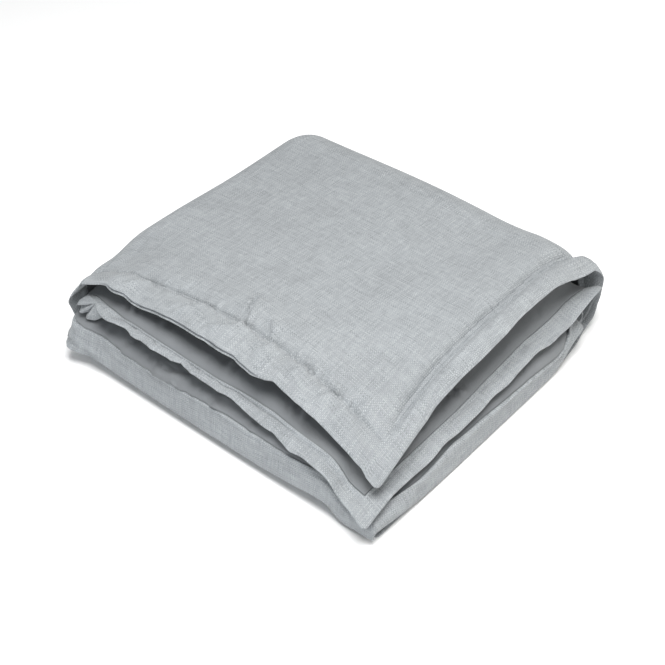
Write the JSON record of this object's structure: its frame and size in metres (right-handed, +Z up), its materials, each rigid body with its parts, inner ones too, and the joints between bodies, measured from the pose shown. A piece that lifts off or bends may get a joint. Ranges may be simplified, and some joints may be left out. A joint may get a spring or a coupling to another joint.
{
  "type": "folded bedspread",
  "caption": "Padded grey bedspread with a slubbed linen-look face, smooth lining and turned hem, folded into a soft square pile that lies flat on a bed, shelf or bench.",
  "frame": {"origin": "centre of the folded pile's box, on the surface that it lies on", "axes": "+X towards the large side fold, +Y towards the back fold, +Z up; the hems lie at -X and -Y"},
  "size_m": [0.5345, 0.5606, 0.1594],
  "materials": {
    "face_cloth": "coarse slubbed plain weave, light grey, matt",
    "lining": "fine smooth weave, mid grey, matt"
  },
  "bodies": {
    "root": {"face_cloth": "face_cloth", "lining": "lining"}
  },
  "joints": []
}
